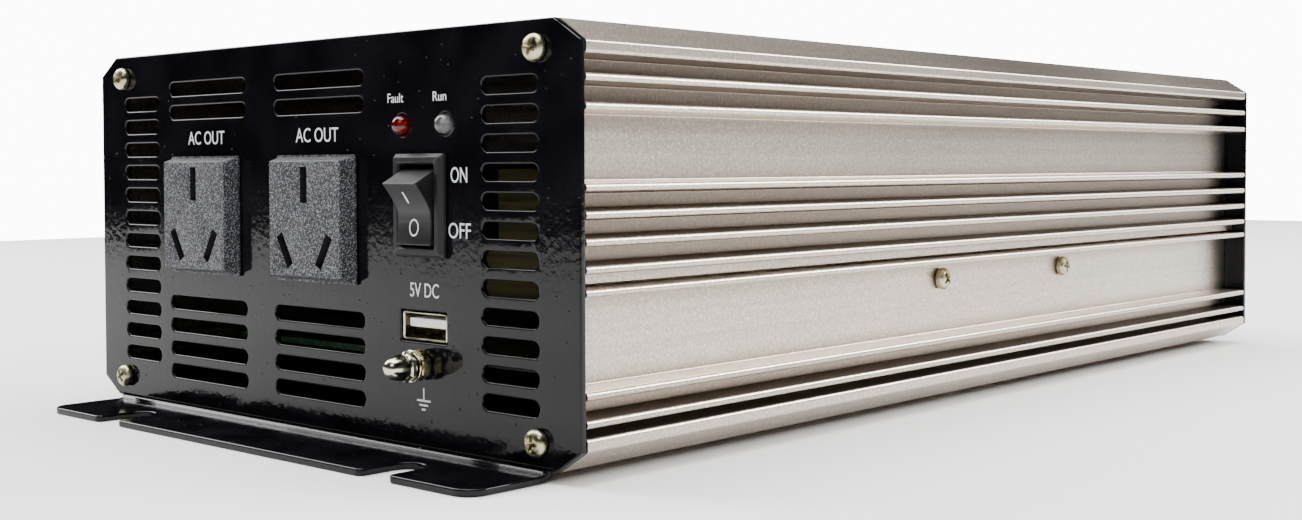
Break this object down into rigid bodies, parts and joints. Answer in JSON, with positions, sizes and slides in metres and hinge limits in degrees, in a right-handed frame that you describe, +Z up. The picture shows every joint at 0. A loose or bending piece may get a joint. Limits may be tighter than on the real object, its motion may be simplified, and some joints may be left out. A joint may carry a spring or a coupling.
{
  "type": "power inverter",
  "caption": "Low box-shaped power inverter: finned aluminium case, black steel end panels with foot flanges, two outlets, rocker switch, charging socket, fans and battery terminals.",
  "frame": {"origin": "on the ground plane under the middle of the object, level with the undersides of the two foot flanges", "axes": "+Z up; the front panel faces -Y; +X is to the right as seen from the front"},
  "size_m": [0.168, 0.359, 0.087],
  "materials": {
    "champagne_aluminium": "bead-blasted, champagne anodised",
    "black_powder_coat": "gloss black powder coat",
    "nickel_plate": "nickel plated steel",
    "yellow_zinc": "yellow zinc plated",
    "brass": "bright brass",
    "plain_steel": "plain steel",
    "spark_textured_plastic": "coarse spark-textured dark grey plastic",
    "satin_black_plastic": "satin black plastic",
    "black_plastic": "black moulded plastic",
    "white_plastic": "white moulded plastic",
    "red_plastic": "red moulded plastic",
    "orange_plastic": "orange translucent plastic",
    "red_lens": "clear red lens",
    "clear_lens": "water-clear lens",
    "circuit_board": "green solder mask",
    "ferrite": "matt ground ferrite",
    "winding_tape": "yellow insulating tape over copper",
    "capacitor_sleeve": "dark blue shrink sleeve"
  },
  "bodies": {
    "inverter": {"upper_case": "champagne_aluminium", "lower_case": "champagne_aluminium", "front_panel": "black_powder_coat", "rear_panel": "black_powder_coat", "outlet_left": "spark_textured_plastic", "outlet_right": "spark_textured_plastic", "switch_housing": "satin_black_plastic", "alarm_led": "red_lens", "power_led": "clear_lens", "usb_shell": "nickel_plate", "usb_tongue": "white_plastic", "earth_stud": "yellow_zinc", "earth_hex_nut": "yellow_zinc", "fan_frame_left": "black_plastic", "fan_frame_right": "black_plastic", "terminal_insulator_positive": "red_plastic", "terminal_insulator_negative": "black_plastic", "main_board": "circuit_board", "transformer_core_1": "ferrite", "transformer_core_2": "ferrite", "transformer_winding_1": "winding_tape", "transformer_winding_2": "winding_tape", "clamp_bar_left": "plain_steel", "clamp_bar_right": "plain_steel", "input_capacitor": "capacitor_sleeve", "bus_capacitor": "capacitor_sleeve", "input_fuse": "orange_plastic", "cable_positive": "red_plastic", "cable_negative": "black_plastic", "front_screw_1": "nickel_plate", "front_screw_2": "nickel_plate", "front_screw_3": "nickel_plate", "front_screw_4": "nickel_plate", "rear_screw_1": "nickel_plate", "rear_screw_2": "nickel_plate", "rear_screw_3": "nickel_plate", "rear_screw_4": "nickel_plate", "side_screw_1": "nickel_plate", "side_screw_2": "nickel_plate", "side_screw_3": "nickel_plate", "side_screw_4": "nickel_plate", "fan_screw_1": "nickel_plate", "fan_screw_2": "nickel_plate", "fan_screw_3": "nickel_plate", "fan_screw_4": "nickel_plate", "terminal_stud_positive": "brass", "terminal_stud_negative": "brass", "transistor_left_1": "black_plastic", "transistor_left_2": "black_plastic", "transistor_right_1": "black_plastic", "transistor_right_2": "black_plastic"},
    "switch_rocker": {"switch_rocker": "satin_black_plastic"},
    "fan_rotor_left": {"fan_rotor_left": "black_plastic"},
    "fan_rotor_right": {"fan_rotor_right": "black_plastic"},
    "earth_washer": {"earth_washer": "nickel_plate"},
    "earth_cap_nut": {"earth_cap_nut": "nickel_plate"},
    "positive_washer": {"terminal_washer_positive": "nickel_plate"},
    "positive_nut": {"terminal_nut_positive": "brass"},
    "negative_washer": {"terminal_washer_negative": "nickel_plate"},
    "negative_nut": {"terminal_nut_negative": "brass"}
  },
  "joints": [
    {"name": "rocker_tilt", "type": "hinge", "parent": "inverter", "child": "switch_rocker", "pos_m": [0.0401, -0.1585, 0.0515], "axis": [-1, 0, 0], "range_deg": [0, 34]},
    {"name": "left_fan_spin", "type": "hinge", "parent": "inverter", "child": "fan_rotor_left", "pos_m": [-0.0425, 0.15, 0.0445], "axis": [0, 1, 0], "continuous": true},
    {"name": "right_fan_spin", "type": "hinge", "parent": "inverter", "child": "fan_rotor_right", "pos_m": [0.0425, 0.15, 0.0445], "axis": [0, 1, 0], "continuous": true},
    {"name": "earth_washer_slide", "type": "slide", "parent": "inverter", "child": "earth_washer", "axis": [0, -1, 0], "range_m": [0, 0.0025]},
    {"name": "earth_nut_turn", "type": "hinge", "parent": "earth_washer", "child": "earth_cap_nut", "pos_m": [0.0401, -0.165, 0.0193], "axis": [0, -1, 0], "range_deg": [0, 1801]},
    {"name": "positive_washer_slide", "type": "slide", "parent": "inverter", "child": "positive_washer", "axis": [0, 1, 0], "range_m": [0, 0.006]},
    {"name": "positive_nut_turn", "type": "hinge", "parent": "positive_washer", "child": "positive_nut", "pos_m": [0, 0.168, 0.062], "axis": [0, 1, 0], "range_deg": [0, 2161]},
    {"name": "negative_washer_slide", "type": "slide", "parent": "inverter", "child": "negative_washer", "axis": [0, 1, 0], "range_m": [0, 0.006]},
    {"name": "negative_nut_turn", "type": "hinge", "parent": "negative_washer", "child": "negative_nut", "pos_m": [0, 0.168, 0.027], "axis": [0, 1, 0], "range_deg": [0, 2161]}
  ],
  "couplings": [
    {"joint": "earth_nut_turn", "follows": "earth_washer_slide", "rad_per_m": 12566},
    {"joint": "positive_nut_turn", "follows": "positive_washer_slide", "rad_per_m": 6283.2},
    {"joint": "negative_nut_turn", "follows": "negative_washer_slide", "rad_per_m": 6283.2}
  ]
}
